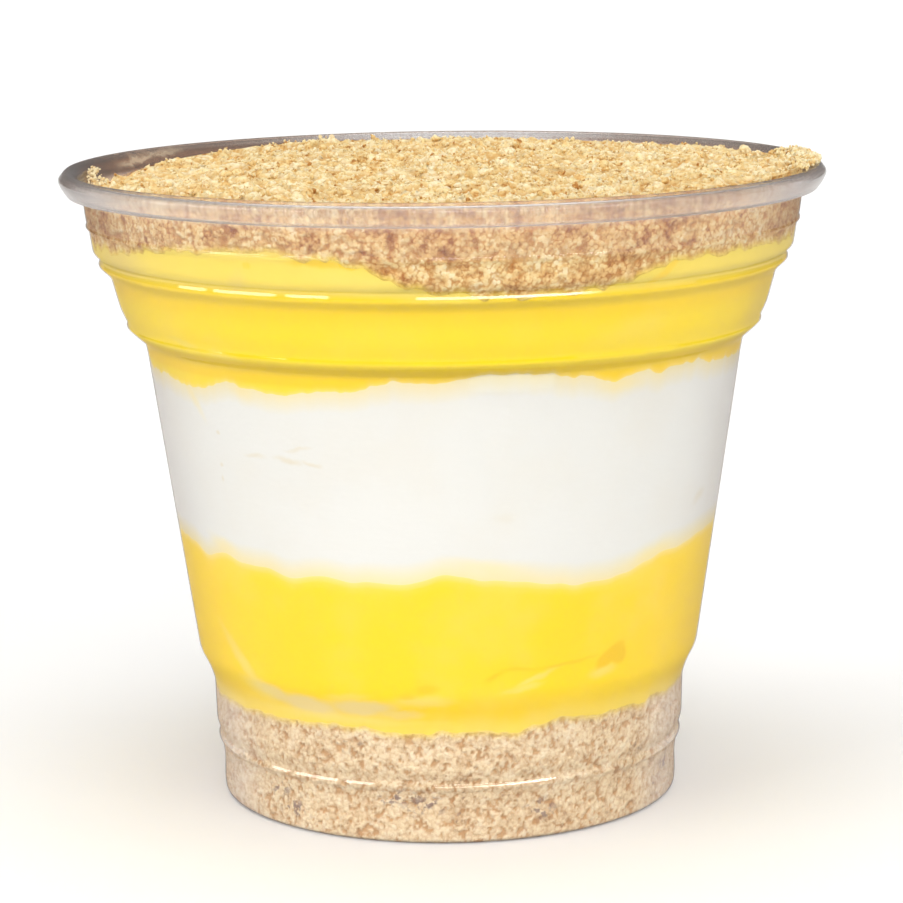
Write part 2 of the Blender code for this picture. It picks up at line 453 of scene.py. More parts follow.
def add_heap(points, quads, rim):
    """(points, quads, triangles) of the side and the grainy top of the heap, which closes its last
    ring, rim. Between the two a strip halves the number of columns."""
    lip = points[rim[::2]] * [LIP_SHARE, LIP_SHARE, 1.0]
    lip_numbers = len(points) + np.arange(LID_COLUMNS)
    x, y, edge, column = disc_grid()
    outside = np.hypot(lip[:, 0], lip[:, 1])[column]
    x = x * outside
    y = y * outside
    height = heap_height(x, y) + heap_relief(x, y)[0]
    lip[:, 2] = 0.5 * (lip[:, 2] + heap_height(lip[:, 0], lip[:, 1]) + heap_relief(lip[:, 0], lip[:, 1])[0])
    grid = np.empty(x.shape, int)
    grid[edge] = lip_numbers[column[edge]]
    grid[~edge] = lip_numbers[-1] + 1 + np.arange((~edge).sum())
    points = np.concatenate([points, lip, np.stack([x, y, height], axis=-1)[~edge]])
    corners = [grid[:-1, :-1], grid[1:, :-1], grid[1:, 1:], grid[:-1, 1:]]
    quads = np.concatenate([quads, np.stack([corner.ravel() for corner in corners], axis=1)])
    even, odd, following = rim[::2], rim[1::2], np.roll(rim[::2], -1)
    onwards = np.roll(lip_numbers, -1)
    strip = [[even, odd, lip_numbers], [odd, onwards, lip_numbers], [odd, following, onwards]]
    return points, quads, np.concatenate([np.stack(corner, axis=1) for corner in strip])


# ---- Materials ----


def socket(tree, target, value):
    if isinstance(value, bpy.types.NodeSocket):
        tree.links.new(value, target)
    else:
        target.default_value = value


def add(tree, kind, inputs=None, **settings):
    """A node with its settings and inputs, each input a value or another node's output."""
    made = tree.nodes.new(kind)
    for key, value in settings.items():
        setattr(made, key, value)
    for key, value in (inputs or {}).items():
        socket(tree, made.inputs[key], value)
    return made


def calc(tree, operation, a, b=0.0, c=0.0):
    return add(tree, "ShaderNodeMath", {0: a, 1: b, 2: c}, operation=operation).outputs[0]


def times(tree, a, b):
    return calc(tree, "MULTIPLY", a, b)


def swayed(tree, value, noise, amount):
    """The value moved up and down by noise that runs from 0 to 1."""
    return calc(tree, "MULTIPLY_ADD", calc(tree, "SUBTRACT", noise, 0.5), amount, value)


def mixed(tree, share, a, b, blend="MIX"):
    made = add(tree, "ShaderNodeMix", data_type="RGBA", blend_type=blend)
    for number, value in ((0, share), (6, a), (7, b)):
        if isinstance(value, (tuple, list)) and len(value) == 3:
            value = (*value, 1.0)
        socket(tree, made.inputs[number], value)
    return made.outputs[2]


def vector_math(tree, operation, *vectors):
    return add(tree, "ShaderNodeVectorMath", dict(enumerate(vectors)), operation=operation).outputs


def smooth_step(tree, value, low, high):
    """0 up to low and 1 from high on; low may be the greater of the two."""
    inputs = {"Value": value, "From Min": low, "From Max": high, "To Min": 0.0, "To Max": 1.0}
    return add(tree, "ShaderNodeMapRange", inputs, interpolation_type="SMOOTHSTEP").outputs[0]


def object_place(tree):
    return add(tree, "ShaderNodeTexCoord").outputs["Object"]


def height_step(tree, low, high):
    """A smooth step between two heights in millimetres."""
    height = add(tree, "ShaderNodeSeparateXYZ", {0: object_place(tree)}).outputs["Z"]
    return smooth_step(tree, height, low * MM, high * MM)


def in_cells(tree, size, stretch=(1.0, 1.0, 1.0)):
    """The place on the object in units of size millimetres."""
    scale = [factor / (size * MM) for factor in stretch]
    return add(tree, "ShaderNodeMapping", {"Vector": object_place(tree), "Scale": scale}).outputs[0]


def stain(tree, size, detail=3.0, stretch=(1.0, 1.0, 1.0)):
    """Noise from 0 to 1 in features of about size millimetres."""
    inputs = {"Vector": in_cells(tree, size, stretch), "Scale": 1.0, "Detail": detail, "Roughness": 0.55}
    return add(tree, "ShaderNodeTexNoise", inputs).outputs[0]


def cells(tree, size):
    """(distance from the middle, random number) of each grain in a packing of grains of this size."""
    made = add(tree, "ShaderNodeTexVoronoi", {"Vector": in_cells(tree, size), "Scale": 1.0})
    shade = add(tree, "ShaderNodeSeparateColor", {0: made.outputs["Color"]}).outputs[0]
    return made.outputs["Distance"], shade


def attribute(tree, name):
    return add(tree, "ShaderNodeAttribute", attribute_name=name).outputs["Fac"]


def ramp(tree, value, stops):
    made = add(tree, "ShaderNodeValToRGB", {"Fac": value})
    band = made.color_ramp
    while len(band.elements) < len(stops):
        band.elements.new(0.5)
    for element, (position, color) in zip(band.elements, stops):
        element.position = position
        element.color = (*color, 1.0)
    return made.outputs[0]


def new_material(name, roughness, specular):
    material = bpy.data.materials.new(name)
    material.use_nodes = True
    tree = material.node_tree
    shader = tree.nodes["Principled BSDF"]
    shader.inputs["Roughness"].default_value = roughness
    shader.inputs["Specular IOR Level"].default_value = specular
    return material, tree, shader


def bump(tree, height, distance, strength=1.0, under=None):
    inputs = {"Height": height, "Distance": distance * MM, "Strength": strength}
    if under:
        inputs["Normal"] = under
    return add(tree, "ShaderNodeBump", inputs).outputs[0]


def wall_place(tree, radius, wobble):
    """The place on the unrolled wall, (along, up, 0) in millimetres, with wavy outlines."""
    parts = add(tree, "ShaderNodeSeparateXYZ", {0: object_place(tree)}).outputs
    turn = calc(tree, "ARCTAN2", parts["X"], times(tree, parts["Y"], -1.0))
    along = swayed(tree, times(tree, turn, radius), stain(tree, 1.6), wobble)
    up = swayed(tree, times(tree, parts["Z"], 1 / MM), stain(tree, 1.9), wobble)
    return add(tree, "ShaderNodeCombineXYZ", {0: along, 1: up}).outputs[0]


def blotches(tree, place, radius, spots):
    """A mask of soft spots: (azimuth, height, half length, half height, tilt, softness, strength)."""
    total = 0.0
    for azimuth, height, half_length, half_height, tilt, softness, strength in spots:
        inputs = {
            "Vector": place,
            "Location": (math.radians(azimuth) * radius, height, 0.0),
            "Rotation": (0.0, 0.0, math.radians(tilt)),
            "Scale": (half_length, half_height, 1.0),
        }
        mapping = add(tree, "ShaderNodeMapping", inputs, vector_type="TEXTURE").outputs[0]
        away = vector_math(tree, "LENGTH", mapping)["Value"]
        spot = smooth_step(tree, away, 1.0 + softness, 1.0 - softness)
        total = calc(tree, "MAXIMUM", total, times(tree, spot, strength))
    return total


def upright_normal(tree, share):
    """The surface's normal turned by this share towards straight out from the cup's axis."""
    outwards = vector_math(tree, "MULTIPLY", object_place(tree), (1.0, 1.0, 0.0))[0]
    outwards = vector_math(tree, "NORMALIZE", outwards)[0]
    settings = {"vector_type": "NORMAL", "convert_from": "OBJECT", "convert_to": "WORLD"}
    outwards = add(tree, "ShaderNodeVectorTransform", {0: outwards}, **settings).outputs[0]
    own = add(tree, "ShaderNodeNewGeometry").outputs["Normal"]
    both = add(tree, "ShaderNodeMix", {0: share, 4: own, 5: outwards}, data_type="VECTOR").outputs[1]
    return vector_math(tree, "NORMALIZE", both)[0]


def between(tree, low, high, softness):
    """1 between two heights in millimetres, falling to 0 over softness outside them."""
    above = height_step(tree, low - softness, low)
    below = height_step(tree, high + softness, high)
    return times(tree, above, below)


RIM_RADIUS = 44.0
RIM_SMEARS = ((-118, 77.6, 4.5, 0.35, -6, 0.7, 0.28), (-126, 77.9, 3, 0.3, -4, 0.7, 0.22))
# Painted shade on the rolled rim: dark patches at its back left and right, and faint at its front right,
# standing in for dark surroundings seen through the clear plastic.
RIM_SHADE_PATCHES = (
    (-118, 77, 36, 3, 0, 0.3, 1),
    (122, 77, 28, 3, 0, 0.3, 0.7),
    (36, 77, 13, 3, 0, 0.6, 0.14),
)
FOOT_FROST = 0.75  # how frosted the plastic looks at the sides of the foot
LID_BAND_FROST = 0.06  # and all round its topmost band


def see_through(tree, color):
    return add(tree, "ShaderNodeBsdfTransparent", {"Color": color}).outputs[0]


def shader_mix(tree, share, under, over):
    return add(tree, "ShaderNodeMixShader", {0: share, 1: under, 2: over}).outputs[0]


def veiled(tree, share, under, color):
    """A shader under a thin veil of this colour."""
    veil = add(tree, "ShaderNodeBsdfDiffuse", {"Color": (*color, 1.0)}).outputs[0]
    return shader_mix(tree, share, under, veil)


def rim_haze(tree, rolled, edgeways, streaks):
    """How hazy the rolled rim is: in streaks all over, and evenly along its free edge."""
    haze = times(tree, calc(tree, "SUBTRACT", 1.0, edgeways), rolled)
    haze = times(tree, haze, times(tree, streaks, 0.09))
    free_edge = times(tree, height_step(tree, 76.6, 75.8), rolled)
    return calc(tree, "MULTIPLY_ADD", free_edge, 0.25, haze)


def frosting(tree, rolled, cloudy, sideways):
    """How frosted the plastic is: at the sides of the foot, and faintly in the topmost band."""
    foot = times(tree, height_step(tree, 17.0, 12.0), FOOT_FROST)
    foot = times(tree, smooth_step(tree, sideways, 0.4, 0.9), foot)
    return calc(tree, "MULTIPLY_ADD", calc(tree, "SUBTRACT", cloudy, rolled), LID_BAND_FROST, foot)


def plastic_material():
    """Clear plastic: hazy in the rolled rim, its tint darkened by painted shade towards its edges and in
    patches on the rim, streaked by its mould with bump ridges and painted darker streaks, frosted at the
    foot, and smeared with crumb dust at the back of the rim. Lamps shine through it."""
    material, tree, shader = new_material("clear_plastic", 0.03, 0.5)
    rolled = height_step(tree, 74.9, 76.1)
    cloudy = height_step(tree, 71.8, 72.2)
    outline = add(tree, "ShaderNodeLayerWeight", {"Blend": 0.5}).outputs["Facing"]
    turned = {"Blend": 0.5, "Normal": upright_normal(tree, 0.8)}
    sideways = add(tree, "ShaderNodeLayerWeight", turned).outputs["Facing"]
    edgeways = smooth_step(tree, sideways, 0.3, 0.85)
    streaks = stain(tree, 0.5, 3.0, (1.0, 1.0, 0.02))
    place = wall_place(tree, RIM_RADIUS, 1.8)

    # The tint is near clear face-on and darkens towards the cup's edges, most at grazing angles: painted
    # shade standing in for dark reflections there.
    clear = mixed(tree, edgeways, (0.985, 0.98, 0.98), (0.82, 0.79, 0.79))
    clear = mixed(tree, smooth_step(tree, sideways, 0.86, 0.98), clear, (0.60, 0.55, 0.52))
    # Above the ledge the tint is faintly hazy, and darker towards the sides: painted shade there.
    cloud = mixed(tree, edgeways, (0.93, 0.89, 0.88), (0.68, 0.62, 0.57))
    clear = mixed(tree, cloudy, clear, cloud, "MULTIPLY")
    # In the rolled rim the tint darkens to deep brown at grazing angles, and more in the patches: painted
    # shade.
    rim_tint_and_shade = mixed(tree, smooth_step(tree, outline, 0.5, 0.85), (0.97, 0.96, 0.955), (0.32, 0.25, 0.22))
    rim_shade = blotches(tree, place, RIM_RADIUS, RIM_SHADE_PATCHES)
    rim_tint_and_shade = mixed(tree, rim_shade, rim_tint_and_shade, (0.45, 0.32, 0.24), "MULTIPLY")
    # Darker streaks in the rim's colour: painted refraction lines, over the bump ridges below.
    rim_tint_and_shade = mixed(tree, smooth_step(tree, streaks, 0.48, 0.66), rim_tint_and_shade, (0.78, 0.68, 0.64), "MULTIPLY")
    socket(tree, shader.inputs["Base Color"], mixed(tree, rolled, clear, rim_tint_and_shade))
    roughness = calc(tree, "MULTIPLY_ADD", cloudy, 0.04, 0.03)
    socket(tree, shader.inputs["Roughness"], calc(tree, "MULTIPLY_ADD", rolled, 0.12, roughness))
    ridges = times(tree, streaks, rolled)
    socket(tree, shader.inputs["Normal"], bump(tree, ridges, 0.05, 0.4))
    shader.inputs["Transmission Weight"].default_value = 1.0
    shader.inputs["IOR"].default_value = 1.5

    plastic = veiled(tree, rim_haze(tree, rolled, edgeways, streaks), shader.outputs[0], (0.88, 0.80, 0.75))
    plastic = veiled(tree, frosting(tree, rolled, cloudy, sideways), plastic, (0.80, 0.80, 0.86))
    smears = blotches(tree, place, RIM_RADIUS, RIM_SMEARS)
    plastic = veiled(tree, smears, plastic, (0.85, 0.74, 0.55))
    thin = calc(tree, "SUBTRACT", 0.8, rolled)
    edge = times(tree, smooth_step(tree, outline, 0.35, 0.9), thin)
    plastic = shader_mix(tree, edge, plastic, see_through(tree, clear))
    lamp = add(tree, "ShaderNodeLightPath").outputs["Is Shadow Ray"]
    plastic = shader_mix(tree, lamp, plastic, see_through(tree, (0.96, 0.95, 0.955, 1.0)))
    tree.links.new(plastic, tree.nodes["Material Output"].inputs["Surface"])
    return material


BASE_RADIUS = 29.0
# Where the painted shade of the cracks between grains runs
CREASE_SHADE_SPAN = (0.54, 0.74)  # from a grain's middle, as shares of its size
SPECK_COLOR = (0.28, 0.19, 0.17)


def crumb_material(name, stops, pit_shade, curd, grain, patches, specks=()):
    """Biscuit crumb: every grain has its own tone and finer grains in it, the pits and cracks between
    them are darkened with painted shade, and next to the curd it is stained. The size of a grain is in
    millimetres."""
    material, tree, shader = new_material(name, 0.9, 0.12)
    distance, shade = cells(tree, grain)
    tone = swayed(tree, attribute(tree, "tone"), shade, 0.35)
    tone = swayed(tree, tone, stain(tree, 2.4, 5.0), patches)
    tone = swayed(tree, tone, stain(tree, 9.0, 2.0), 0.5)
    color = ramp(tree, tone, stops)
    fine = stain(tree, 0.45 * grain, 3.0)
    ragged = swayed(tree, distance, fine, 0.35)
    # Painted shade: the cracks between grains and the pits of the relief are darkened towards the shade
    # colour.
    creases = times(tree, smooth_step(tree, ragged, *CREASE_SHADE_SPAN), attribute(tree, "crease_shade"))
    depth = calc(tree, "MAXIMUM", attribute(tree, "pit_shade"), creases)
    color = mixed(tree, depth, color, pit_shade, "MULTIPLY")
    if specks:
        spread = smooth_step(tree, stain(tree, 1.1, 3.0), 0.50, 0.62)
        places = blotches(tree, wall_place(tree, BASE_RADIUS, 1.5), BASE_RADIUS, specks)
        color = mixed(tree, times(tree, places, spread), color, SPECK_COLOR)
    color = mixed(tree, attribute(tree, "stained"), color, curd)
    socket(tree, shader.inputs["Base Color"], color)
    coarse = bump(tree, times(tree, distance, -1.0), 0.4 * grain, 0.6)
    socket(tree, shader.inputs["Normal"], bump(tree, fine, 0.3 * grain, 0.6, coarse))
    return material


UPRIGHT_SHARE = 0.75  # the smooth layers are lit nearly evenly over the cup's steps
CREAMY_CURD = (0.87, 0.80, 0.48)


def curd_material(name, base, pale, deep_shade, film, film_spots, highlight_spots, shade_spots, radius, shaded):
    """Lemon curd: even and smooth, paler where it only films the wall (in part painted reflection), with
    painted highlights in pale spots, and painted shade that deepens its colour in its hollows and under
    each step of the cup."""
    material, tree, shader = new_material(name, 0.45, 0.08)
    cloud = smooth_step(tree, stain(tree, 10.0, 3.0), 0.42, 0.72)
    clouded = (0.96 * base[0] + 0.04 * pale[0], 0.9 * base[1] + 0.1 * pale[1], 0.2 * pale[2])
    color = mixed(tree, cloud, base, clouded)
    # Painted shade: bands of deeper colour under the cup's steps.
    for low, high, softness, strength in shaded:
        under = times(tree, between(tree, low, high, softness), strength)
        color = mixed(tree, under, color, deep_shade)
    color = mixed(tree, attribute(tree, "pale"), color, pale)
    place = wall_place(tree, radius, 1.0)
    # Film spots are the curd's own colour; the pale spots are painted highlights, and the deep ones painted
    # shade.
    for spots, shade in ((film_spots, film), (highlight_spots, pale), (shade_spots, deep_shade)):
        color = mixed(tree, blotches(tree, place, radius, spots), color, shade)
    color = mixed(tree, attribute(tree, "creamy"), color, CREAMY_CURD)
    socket(tree, shader.inputs["Base Color"], color)
    normal = bump(tree, stain(tree, 2.5, 4.0), 0.12, 0.3, upright_normal(tree, UPRIGHT_SHARE))
    socket(tree, shader.inputs["Normal"], normal)
    return material


LOWER_FILM = (
    (-42.9, 17.4, 3.2, 0.9, -12, 0.5, 0.75),
    (-34, 16.6, 4.5, 1.1, -4, 0.5, 0.85),
    (-20, 17, 4.2, 1, 2, 0.5, 0.8),
    (-12, 16.4, 3, 0.6, 0, 0.6, 0.5),
    (120, 17, 5, 1.1, 0, 0.5, 0.7),
    (-150, 17, 5, 1, 4, 0.5, 0.7),
)
# Pale spots and lines on the lower curd: painted highlights.
LOWER_HIGHLIGHTS = (
    (18.5, 20.6, 2.6, 0.35, 22, 0.8, 0.55),
    (16, 19.5, 2, 0.35, 12, 0.8, 0.5),
    (35.5, 20.4, 1.6, 0.7, 8, 0.8, 0.55),
    (-51, 20, 5, 0.8, -46, 0.8, 0.6),
    (-48, 17.6, 2.6, 1, -10, 0.8, 0.6),
    (-6, 18.2, 3, 0.6, 0, 0.8, 0.6),
    (-27, 15.3, 9, 0.5, 0, 0.9, 0.6),
    (-23, 18.4, 2.4, 0.35, 8, 0.8, 0.4),
)
# Spots of painted shade in the lower curd's hollows, deeper in colour.
LOWER_SHADE_SPOTS = (
    (37, 22.2, 2.3, 0.9, 32, 0.25, 1),
    (39.6, 22.2, 1.3, 1.2, -20, 0.25, 1),
    (26, 22.1, 3.6, 0.22, 6, 0.7, 0.7),
    (15, 22, 2.6, 0.22, -2, 0.7, 0.6),
    (9.8, 21.3, 1.3, 0.3, 28, 0.7, 0.8),
    (-4.8, 19.7, 1.4, 0.5, 8, 0.6, 0.7),
    (-9, 18.9, 0.8, 0.4, 0, 0.7, 0.5),
    (130, 24, 2.2, 0.9, 15, 0.5, 0.8),
    (-120, 22, 3, 0.3, -10, 0.7, 0.7),
)
UPPER_FILM = (
    (-62, 69.6, 5, 1.6, 0, 0.7, 0.5),
    (-33, 68.9, 1.4, 1, 60, 0.8, 0.35),
    (70, 62, 4, 3, 0, 0.8, 0.25),
)
# Pale spots and lines on the upper curd: painted highlights.
UPPER_HIGHLIGHTS = (
    (-8, 68.9, 9, 1.2, -8, 0.6, 0.7),
    (-50, 60.2, 3, 0.4, -8, 0.8, 0.5),
    (-42, 59.6, 2.5, 0.4, -8, 0.8, 0.45),
    (33, 62.5, 5, 1.4, 10, 0.9, 0.25),
    (170, 69, 9, 1, 0, 0.8, 0.5),
)
# Spots of painted shade in the upper curd's hollows, deeper in colour.
UPPER_SHADE_SPOTS = (
    (-14, 71.5, 1.3, 0.6, 0, 0.5, 0.8),
    (-19, 71.6, 3, 0.5, 0, 0.6, 0.6),
    (-9.5, 70.9, 1.3, 0.5, -10, 0.5, 0.8),
    (-5, 69.9, 1.6, 0.7, -40, 0.5, 0.8),
    (-30.6, 70.9, 0.5, 0.4, 0, 0.5, 0.4),
    (36, 69.6, 2.4, 0.5, 40, 0.6, 0.5),
)

CREAM_RADIUS = 35.0
CREAM_SMEARS = (
    (-39, 47.3, 1.3, 0.25, 3, 0.8, 0.4),
    (-31, 47.2, 1.6, 0.3, -4, 0.8, 0.5),
    (-26, 47, 1.1, 0.22, -12, 0.8, 0.45),
    (-28.6, 48.6, 1.5, 0.2, 10, 0.8, 0.35),
    (-48.4, 49.4, 0.3, 0.25, 0, 0.6, 0.5),
    (-49, 45.5, 0.25, 0.25, 0, 0.6, 0.45),
    (-49.2, 43.8, 0.2, 0.35, 0, 0.6, 0.45),
    (62.6, 39.6, 1.4, 0.6, 20, 0.8, 0.35),
    (11.1, 40.8, 1.2, 0.5, 0, 0.9, 0.15),
    (120, 44, 2, 0.4, 8, 0.8, 0.4),
    (-140, 46, 2.2, 0.4, -8, 0.8, 0.4),
    (175, 41, 1.5, 0.5, 15, 0.8, 0.35),
)
CREAM_STAINS = (
    (-55, 53, 2.2, 0.5, -55, 0.9, 0.45),
    (-40.5, 54.9, 1.6, 0.7, -20, 0.9, 0.35),
    (34, 55.6, 2.4, 0.6, 0, 0.9, 0.4),
    (46, 34, 3, 0.8, 12, 0.9, 0.5),
    (8, 34.9, 3.5, 0.7, -8, 0.9, 0.4),
    (-52, 35.2, 2.6, 0.7, -14, 0.9, 0.4),
    (150, 54.4, 3, 0.7, 0, 0.9, 0.4),
    (-110, 55.4, 3, 0.7, 6, 0.9, 0.4),
)


def cream_material():
    """White cream with a faint warmth, soft smears, and yellow where the curd shows through it."""
    material, tree, shader = new_material("whipped_cream", 0.5, 0.08)
    cloud = smooth_step(tree, stain(tree, 12.0, 3.0), 0.40, 0.75)
    color = mixed(tree, cloud, (0.77, 0.77, 0.735), (0.765, 0.755, 0.705))
    place = wall_place(tree, CREAM_RADIUS, 1.0)
    for spots, shade in ((CREAM_SMEARS, (0.70, 0.62, 0.44)), (CREAM_STAINS, (0.86, 0.76, 0.42))):
        color = mixed(tree, blotches(tree, place, CREAM_RADIUS, spots), color, shade)
    color = mixed(tree, attribute(tree, "yellow"), color, (0.87, 0.70, 0.20))
    socket(tree, shader.inputs["Base Color"], color)
    upright = upright_normal(tree, UPRIGHT_SHARE)
    folds = bump(tree, stain(tree, 7.0, 3.0, (1.0, 1.0, 2.0)), 0.5, 0.25, upright)
    socket(tree, shader.inputs["Normal"], bump(tree, stain(tree, 2.0, 4.0), 0.08, 0.3, folds))
    return material


# ---- Pieces ----


def make_cup():
    outside = rounded(CUP_OUTSIDE)
    inside = rounded(shifted_inwards(CUP_OUTSIDE, WALL))
    azimuths = np.arange(CUP_COLUMNS) * 360.0 / CUP_COLUMNS
    rings = [ring(radius, height, azimuths) for radius, height in outside[-2::-1] + inside[:-1]]
    points, faces, _ = closed_turning(rings, CUP_COLUMNS)
    new_piece("cup_clear", new_mesh("cup_clear", points, faces), plastic_material(), "cup")


STAIN_REACH = 0.55  # how far the curd's stain runs from the crumb's edge on the wall
STAIN_STRENGTH = 0.75
# how strongly the pits between grains are darkened: painted shade
PIT_SHADE_STRENGTH = 0.9
TONE_SPAN = 0.5  # from the lightest grain to the darkest, on the wall
# The heap's top gets lighter tones than the crumb pressed on the wall: partly painted light on the open
# top, and painted shade on the crumb behind the plastic.
TOP_LIGHTEST = 0.04
TOP_TONE_SPAN = 0.6
TOP_CREASE_SHADE = 0.5  # how strong the painted shade in the creases between grains is
# and on the loose crumb: painted shade
LOOSE_CREASE_SHADE = 0.45


def crumb_attributes(points, grains, lightest, side_crease_shade, curd_edge, on_top=None):
    """The tone, painted shade in the hollows and cracks between grains, and stain of crumb at each point;
    on_top marks the heap's top.
    """
    azimuth = azimuth_of(points[:, 0], points[:, 1])
    relief, tone = grains(azimuth, points[:, 2])
    tone = lightest + TONE_SPAN * tone
    crease_shade = np.full(len(points), side_crease_shade)
    if on_top is not None:
        top_relief, top_tone = heap_relief(points[:, 0], points[:, 1])
        relief = np.where(on_top, top_relief, relief)
        tone = np.where(on_top, TOP_LIGHTEST + TOP_TONE_SPAN * top_tone, tone)
        crease_shade = np.where(on_top, TOP_CREASE_SHADE, crease_shade)
    stained = STAIN_STRENGTH * near_shore(curd_edge, azimuth, points[:, 2], STAIN_REACH)
    pit_shade = PIT_SHADE_STRENGTH * np.clip(relief / DEEPEST_PIT, 0.0, 1.0)
    return {"tone": tone, "pit_shade": pit_shade, "crease_shade": crease_shade, "stained": stained}


BASE_STOPS = (
    (0.0, (0.86, 0.745, 0.55)),
    (0.45, (0.81, 0.66, 0.44)),
    (0.8, (0.67, 0.50, 0.31)),
    (1.0, (0.42, 0.29, 0.20)),
)
TOP_STOPS = (
    (0.0, (0.92, 0.82, 0.55)),
    (0.4, (0.87, 0.70, 0.36)),
    (0.75, (0.77, 0.51, 0.20)),
    (1.0, (0.50, 0.24, 0.07)),
)
BASE_SPECKS = (
    (-41, 2.6, 2.2, 1.1, 0, 0.6, 0.9),
    (-46, 4.6, 1.6, 0.9, 0, 0.6, 0.8),
    (-13, 5.8, 2.4, 1, 10, 0.6, 0.9),
    (-6, 4.8, 2.2, 1.2, 0, 0.6, 0.9),
    (22, 3.6, 2, 1.2, 0, 0.6, 0.8),
    (-24, 12, 1.6, 0.8, 0, 0.6, 0.7),
    (70, 5, 2, 1.1, 0, 0.6, 0.8),
    (115, 8, 2.2, 1.2, 0, 0.6, 0.8),
    (160, 4, 2.4, 1.1, 0, 0.6, 0.8),
    (-90, 9, 2, 1, 0, 0.6, 0.8),
    (-140, 5, 2.2, 1, 0, 0.6, 0.8),
)


def make_crumb_base():
    grains = wall_grains(BASE_RADIUS, 0.0, 17.0, count=22000, radii=(0.2, 0.5), lift=0.12, seed=31)
    side = side_rings(np.full(COLUMNS, SIDE_BOTTOM), SHORES["crumb_base"], 62, grains)
    rings = base_rings() + side + level_rings(SHORES["crumb_base"])[::-1]
    points, faces, _ = closed_turning(rings, COLUMNS)
    attributes = crumb_attributes(points, grains, lightest=0.17, side_crease_shade=0.38, curd_edge="crumb_base")
    tints = {"pit_shade": (0.72, 0.52, 0.37), "curd": (0.86, 0.66, 0.13), "specks": BASE_SPECKS}
    material = crumb_material("pressed_crumb", BASE_STOPS, grain=0.5, patches=1.2, **tints)
    mesh = new_mesh("crumb_base_core", points, faces, attributes)
    new_piece("crumb_base_core", mesh, material, "crumb_base")


def make_smooth_layer(node, below, material, rows, marks):
    """A layer of curd or cream; marks are functions of azimuth and height for its attributes."""
    floor = level_rings(SHORES[below])
    sides = side_rings(SHORES[below], SHORES[node], rows)
    points, faces, numbers = closed_turning(floor + sides + level_rings(SHORES[node])[::-1], COLUMNS)
    azimuth = azimuth_of(points[:, 0], points[:, 1])
    attributes = {key: value(azimuth, points[:, 2]) for key, value in marks.items()}
    rims = (numbers[len(floor)], numbers[len(floor) + rows - 1])
    name = f"{node}_fill"
    new_piece(name, new_mesh(name, points, faces, attributes, rims), material, node)


def make_lower_curd():
    material = curd_material(
        "lower_curd",
        base=(0.92, 0.675, 0.001),
        pale=(0.86, 0.72, 0.22),
        deep_shade=(0.85, 0.57, 0.0),
        film=(0.79, 0.65, 0.32),
        film_spots=LOWER_FILM,
        highlight_spots=LOWER_HIGHLIGHTS,
        shade_spots=LOWER_SHADE_SPOTS,
        radius=31.5,
        shaded=((14.5, 16.6, 1.2, 0.25),),
    )
    marks = {
        "pale": lambda azimuth, height: 0.5 * near_shore("crumb_base", azimuth, height, 1.8),
        "creamy": lambda azimuth, height: 0.5 * near_shore("curd_lower", azimuth, height, 0.6),
    }
    make_smooth_layer("curd_lower", "crumb_base", material, 24, marks)


def make_cream():
    marks = {
        "yellow": lambda azimuth, height: 0.6 * near_shore("curd_lower", azimuth, height, 0.8)
        + 0.5 * near_shore("cream", azimuth, height, 0.5),
    }
    make_smooth_layer("cream", "curd_lower", cream_material(), 10, marks)


def make_upper_curd():
    material = curd_material(
        "upper_curd",
        base=(0.92, 0.71, 0.010),
        pale=(0.84, 0.69, 0.15),
        deep_shade=(0.90, 0.60, 0.0),
        film=(0.76, 0.60, 0.20),
        film_spots=UPPER_FILM,
        highlight_spots=UPPER_HIGHLIGHTS,
        shade_spots=UPPER_SHADE_SPOTS,
        radius=42.0,
        shaded=((65.6, 67.2, 2.5, 0.4), (56.5, 58.6, 0.6, 0.5)),
    )
    marks = {
        # Paler above the upper step, where the curd only films the wall: partly thin curd, partly painted
        # reflection.
        "pale": lambda azimuth, height: 0.75 * np.clip((height - 67.3) / 0.5, 0, 1),
        "creamy": lambda azimuth, height: 0.35 * near_shore("cream", azimuth, height, 0.35),
    }
    make_smooth_layer("curd_upper", "cream", material, 36, marks)


def make_crumb_top():
    grains = wall_grains(43.6, 64.0, 82.0, count=24000, radii=(0.24, 0.65), lift=0.16, seed=41)
    side = side_rings(SHORES["curd_upper"], SHORES["crumb_top"], 40, grains)
    points, faces, numbers = closed_turning(level_rings(SHORES["curd_upper"]) + side, COLUMNS)
    points = points[:-1]
    top_pole = len(points)
    floor_fan = faces[1][(faces[1] != top_pole).all(axis=1)]
    on_side = len(points)
    points, quads, strip = add_heap(points, faces[0], numbers[-1])
    on_top = np.arange(len(points)) >= on_side
    # Darker tones on the wall than on the heap's top: partly painted shade.
    attributes = crumb_attributes(points, grains, 0.33, 0.85, "curd_upper", on_top)
    mesh = new_mesh("crumb_heap_core", points, [quads, np.concatenate([floor_fan, strip])], attributes)
    material = crumb_material(
        "loose_crumb", TOP_STOPS, pit_shade=(0.70, 0.47, 0.26), curd=(0.84, 0.66, 0.10), grain=0.5, patches=1.7
    )
    new_piece("crumb_heap_core", mesh, material, "crumb_top")
    return material


# ---- Loose crumb ----


